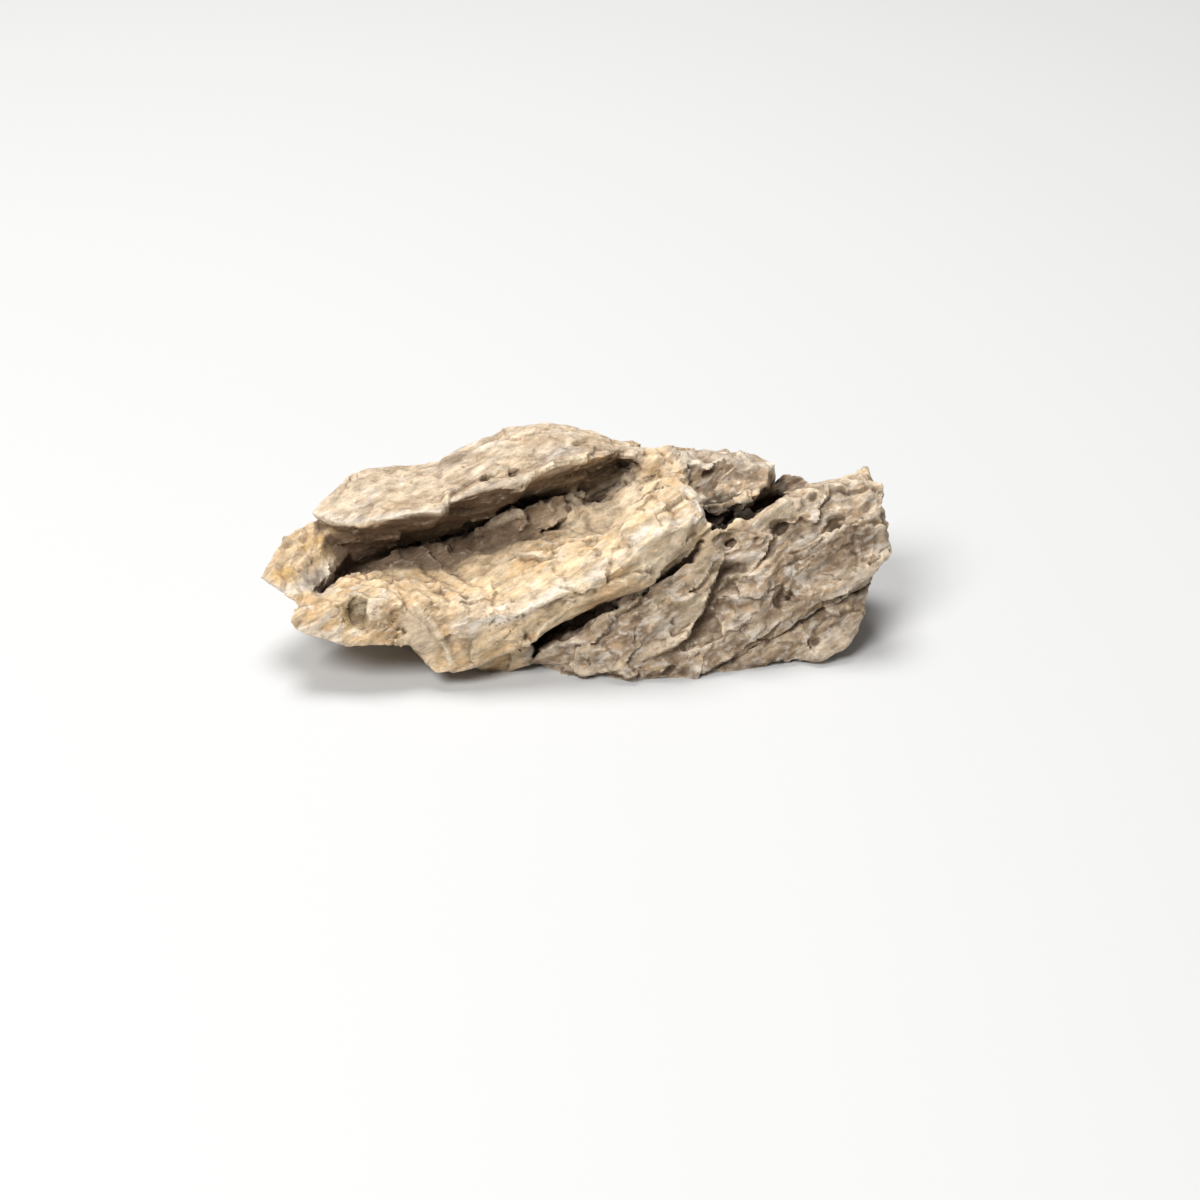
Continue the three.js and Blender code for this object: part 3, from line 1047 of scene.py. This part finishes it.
def store_colours(mesh, name, colours):
    attribute = mesh.attributes.new(name, "FLOAT_COLOR", "POINT")
    flat = np.ones((len(colours), 4), np.float32)
    flat[:, :3] = colours
    attribute.data.foreach_set("color", flat.ravel())


colours = np.clip(painted(colours, wear_and_shade_layers(beds, read_normals(stone.data))), *COLOUR_LIMITS)
store_colours(stone.data, "tint", colours)
print("mean tint", colours.mean(axis=0).round(3))

# %% [markdown]
# The net is finer than it needs to be on smooth stretches. A decimate modifier takes triangles away there first and
# leaves them where the surface is rough, and it carries the colours along. A vertex group tells it to start with the
# back and the underside, which are seen least. Edges sharper than the crease angle are then shaded as edges.

# %% Fewer triangles
MOST_TRIANGLES = 195_000
CREASE_ANGLE = math.radians(28)
FACING_BACK = (0.1, 0.5)
FACING_DOWN = (0.3, 0.7)
AWAY_FACTOR = 1.0


def triangle_count(thing):
    return sum(len(face.vertices) - 2 for face in thing.data.polygons)


def turned_away(thing):
    """A vertex group of what lies on the back and the underside, which may lose more triangles than the front."""
    normals = read_normals(thing.data)
    away = past(normals[:, 1], FACING_BACK) + past(-normals[:, 2], FACING_DOWN) > 0.5
    group = thing.vertex_groups.new(name="turned_away")
    group.add(np.flatnonzero(~away).tolist(), 0.0, "REPLACE")
    group.add(np.flatnonzero(away).tolist(), 1.0, "REPLACE")
    return group.name


def thinned(thing, most):
    triangles = triangle_count(thing)
    if triangles > most:
        decimate = thing.modifiers.new("fewer_triangles", "DECIMATE")
        decimate.ratio = most / triangles
        decimate.vertex_group = turned_away(thing)
        decimate.vertex_group_factor = AWAY_FACTOR
        evaluated = thing.evaluated_get(bpy.context.evaluated_depsgraph_get())
        mesh = bpy.data.meshes.new_from_object(evaluated)
        thing.modifiers.clear()
        thing.vertex_groups.clear()
        thing.data = mesh
    thing.data.shade_smooth()
    thing.data.set_sharp_from_angle(angle=CREASE_ANGLE)
    print("triangles:", triangles, "thinned to", triangle_count(thing))


thinned(stone, MOST_TRIANGLES)

# %% [markdown]
# A material is a tree of nodes, and this one uses a few kinds again and again. Each kind gets a small function, so
# that the material itself can be read as a recipe.

# %% Node helpers
BUMP_STRENGTH = 0.8


def add_node(tree, kind, place, **settings):
    node = tree.nodes.new(kind)
    node.location = place
    for name, value in settings.items():
        setattr(node, name, value)
    return node


def noise_node(tree, coordinates, place, scale, detail, roughness):
    node = add_node(tree, "ShaderNodeTexNoise", place)
    node.inputs["Scale"].default_value = scale
    node.inputs["Detail"].default_value = detail
    node.inputs["Roughness"].default_value = roughness
    tree.links.new(coordinates.outputs["Vector"], node.inputs["Vector"])
    return node


def ranged(tree, source, place, span, result):
    """The source's value stretched so that its span covers the span of the result."""
    node = add_node(tree, "ShaderNodeMapRange", place)
    for name, value in zip(("From Min", "From Max", "To Min", "To Max"), (*span, *result)):
        node.inputs[name].default_value = value
    tree.links.new(source.outputs["Fac"], node.inputs["Value"])
    return node


def mixed(tree, place, share, colour, tint):
    """The colour with a share of one tint mixed in."""
    node = add_node(tree, "ShaderNodeMix", place, data_type="RGBA")
    tree.links.new(share, node.inputs[0])
    tree.links.new(colour, node.inputs[6])
    node.inputs[7].default_value = (*tint, 1)
    return node


def bump_node(tree, place, noise, distance):
    node = add_node(tree, "ShaderNodeBump", place)
    node.inputs["Strength"].default_value = BUMP_STRENGTH
    node.inputs["Distance"].default_value = distance
    tree.links.new(noise.outputs["Fac"], node.inputs["Height"])
    return node


print("node helpers for noise, range, mix and bump")

# %% [markdown]
# The material is dry limestone: dull and very rough. It takes the painted tint, varies it by streaks and by specks
# of chalk and dirt finer than the mesh, all drawn out along the beds, and adds a bump for the grain that can be felt
# but hardly seen. Chalk is left out where the tint is dark, or it would light up the crevices.

# %% Limestone material
BED_TURN = tuple(Matrix(BED_AXES.tolist()).to_euler())
GRAIN_STRETCH = (2.2, 1.2, 0.8)
STONE_ROUGHNESS = 0.88
STONE_SHINE = 0.3
STREAK_NOISE = (420, 7, 0.68)
CHALK_NOISE = (1100, 6, 0.8)
DIRT_NOISE = (1500, 5, 0.8)
FINE_NOISE = (1900, 6, 0.75)
STREAK_SHADES = ((0.32, 0.68), (0.55, 1.34))
CHALK_SHARE = ((0.54, 0.70), (0.0, 0.5))
DIRT_SHARE = ((0.45, 0.30), (0.0, 0.65))
LIGHT_TINTS = ((0.03, 0.3), (0.0, 1.0))
COARSE_BUMP_MM = 1.3
FINE_BUMP_MM = 0.8


def limestone():
    material = bpy.data.materials.new("dry_limestone")
    material.use_nodes = True
    tree = material.node_tree
    tree.nodes.clear()
    link = tree.links.new
    output = add_node(tree, "ShaderNodeOutputMaterial", (900, 0))
    surface = add_node(tree, "ShaderNodeBsdfPrincipled", (600, 0))
    surface.inputs["Roughness"].default_value = STONE_ROUGHNESS
    surface.inputs["Specular IOR Level"].default_value = STONE_SHINE
    link(surface.outputs["BSDF"], output.inputs["Surface"])
    place = add_node(tree, "ShaderNodeTexCoord", (-1300, 0))
    grain = add_node(tree, "ShaderNodeMapping", (-1100, 0), vector_type="TEXTURE")
    grain.inputs["Rotation"].default_value = BED_TURN
    grain.inputs["Scale"].default_value = GRAIN_STRETCH
    link(place.outputs["Object"], grain.inputs["Vector"])
    tint = add_node(tree, "ShaderNodeAttribute", (-600, 400), attribute_name="tint")

    streak = noise_node(tree, grain, (-800, 200), *STREAK_NOISE)
    shade = ranged(tree, streak, (-500, 200), *STREAK_SHADES)
    shaded = add_node(tree, "ShaderNodeVectorMath", (-250, 300), operation="SCALE")
    link(tint.outputs["Color"], shaded.inputs[0])
    link(shade.outputs["Result"], shaded.inputs["Scale"])

    chalk_noise = noise_node(tree, grain, (-800, -50), *CHALK_NOISE)
    chalk_share = ranged(tree, chalk_noise, (-500, -50), *CHALK_SHARE)
    light_here = ranged(tree, tint, (-500, 50), *LIGHT_TINTS)
    dusted = add_node(tree, "ShaderNodeMath", (-250, 0), operation="MULTIPLY")
    link(chalk_share.outputs["Result"], dusted.inputs[0])
    link(light_here.outputs["Result"], dusted.inputs[1])
    chalked = mixed(tree, (0, 250), dusted.outputs["Value"], shaded.outputs["Vector"], TINTS["pale"])

    dirt_noise = noise_node(tree, grain, (-800, -300), *DIRT_NOISE)
    dirt_share = ranged(tree, dirt_noise, (-500, -300), *DIRT_SHARE)
    darkened = mixed(tree, (250, 200), dirt_share.outputs["Result"], chalked.outputs[2], TINTS["umber"])
    link(darkened.outputs[2], surface.inputs["Base Color"])

    fine = noise_node(tree, grain, (-500, -550), *FINE_NOISE)
    coarse_bump = bump_node(tree, (0, -400), streak, COARSE_BUMP_MM * MM)
    fine_bump = bump_node(tree, (300, -400), fine, FINE_BUMP_MM * MM)
    link(coarse_bump.outputs["Normal"], fine_bump.inputs["Normal"])
    link(fine_bump.outputs["Normal"], surface.inputs["Normal"])
    return material


stone.data.materials.clear()
stone.data.materials.append(limestone())
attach(stone, "root")
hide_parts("stone")
print("material:", stone.data.materials[0].name)

# %% [markdown]
# The picture is a studio shot on a floor that is nearly white everywhere. One large pale plane gives the same, and its
# edges are too far off to be seen from above. It is light grey, because the lamps make it brighter.

# %% Floor
FLOOR_SIZE = 6
PAPER_COLOUR = (0.56, 0.56, 0.555, 1)
PAPER_ROUGHNESS = 0.7


def add_floor():
    bpy.ops.mesh.primitive_plane_add(size=FLOOR_SIZE)
    floor = bpy.context.object
    floor.name = "floor"
    paper = bpy.data.materials.new("white_paper")
    paper.use_nodes = True
    surface = paper.node_tree.nodes["Principled BSDF"]
    surface.inputs["Base Color"].default_value = PAPER_COLOUR
    surface.inputs["Roughness"].default_value = PAPER_ROUGHNESS
    floor.data.materials.append(paper)


add_floor()
print("floor:", FLOOR_SIZE, "m across")

# %% [markdown]
# The light is soft and comes from above. A sun would draw hard edges, so there are two big round lamps of about the
# same strength, one overhead and a little behind, the other high at the front left, and an even surround.

# %% Light
SURROUND = 0.21
LAMPS = {
    "overhead": {"place": (-0.18, 0.60, 1.58), "size": 0.9, "watts": 26.5},
    "front_left": {"place": (-0.68, -0.9, 1.35), "size": 0.9, "watts": 29},
}
STONE_MIDDLE = (0, 0, 0.02)


def aim(thing, target):
    direction = np.array(target) - np.array(thing.location)
    flat = math.hypot(direction[0], direction[1])
    thing.rotation_euler = (math.atan2(flat, -direction[2]), 0, math.atan2(-direction[0], direction[1]))


def add_lamp(name, place, size, watts):
    lamp = bpy.data.lights.new(name, "AREA")
    lamp.shape = "DISK"
    lamp.size = size
    lamp.energy = watts
    thing = bpy.data.objects.new(name, lamp)
    thing.location = place
    aim(thing, STONE_MIDDLE)
    bpy.context.scene.collection.objects.link(thing)


def add_surround():
    world = bpy.data.worlds.new("surround")
    world.use_nodes = True
    sky = world.node_tree.nodes["Background"]
    sky.inputs["Color"].default_value = (1, 1, 1, 1)
    sky.inputs["Strength"].default_value = SURROUND
    bpy.context.scene.world = world


add_surround()
for lamp_name, facts in LAMPS.items():
    add_lamp(lamp_name, **facts)
bpy.context.scene.view_settings.view_transform = "Standard"
print("lamps:", list(LAMPS))
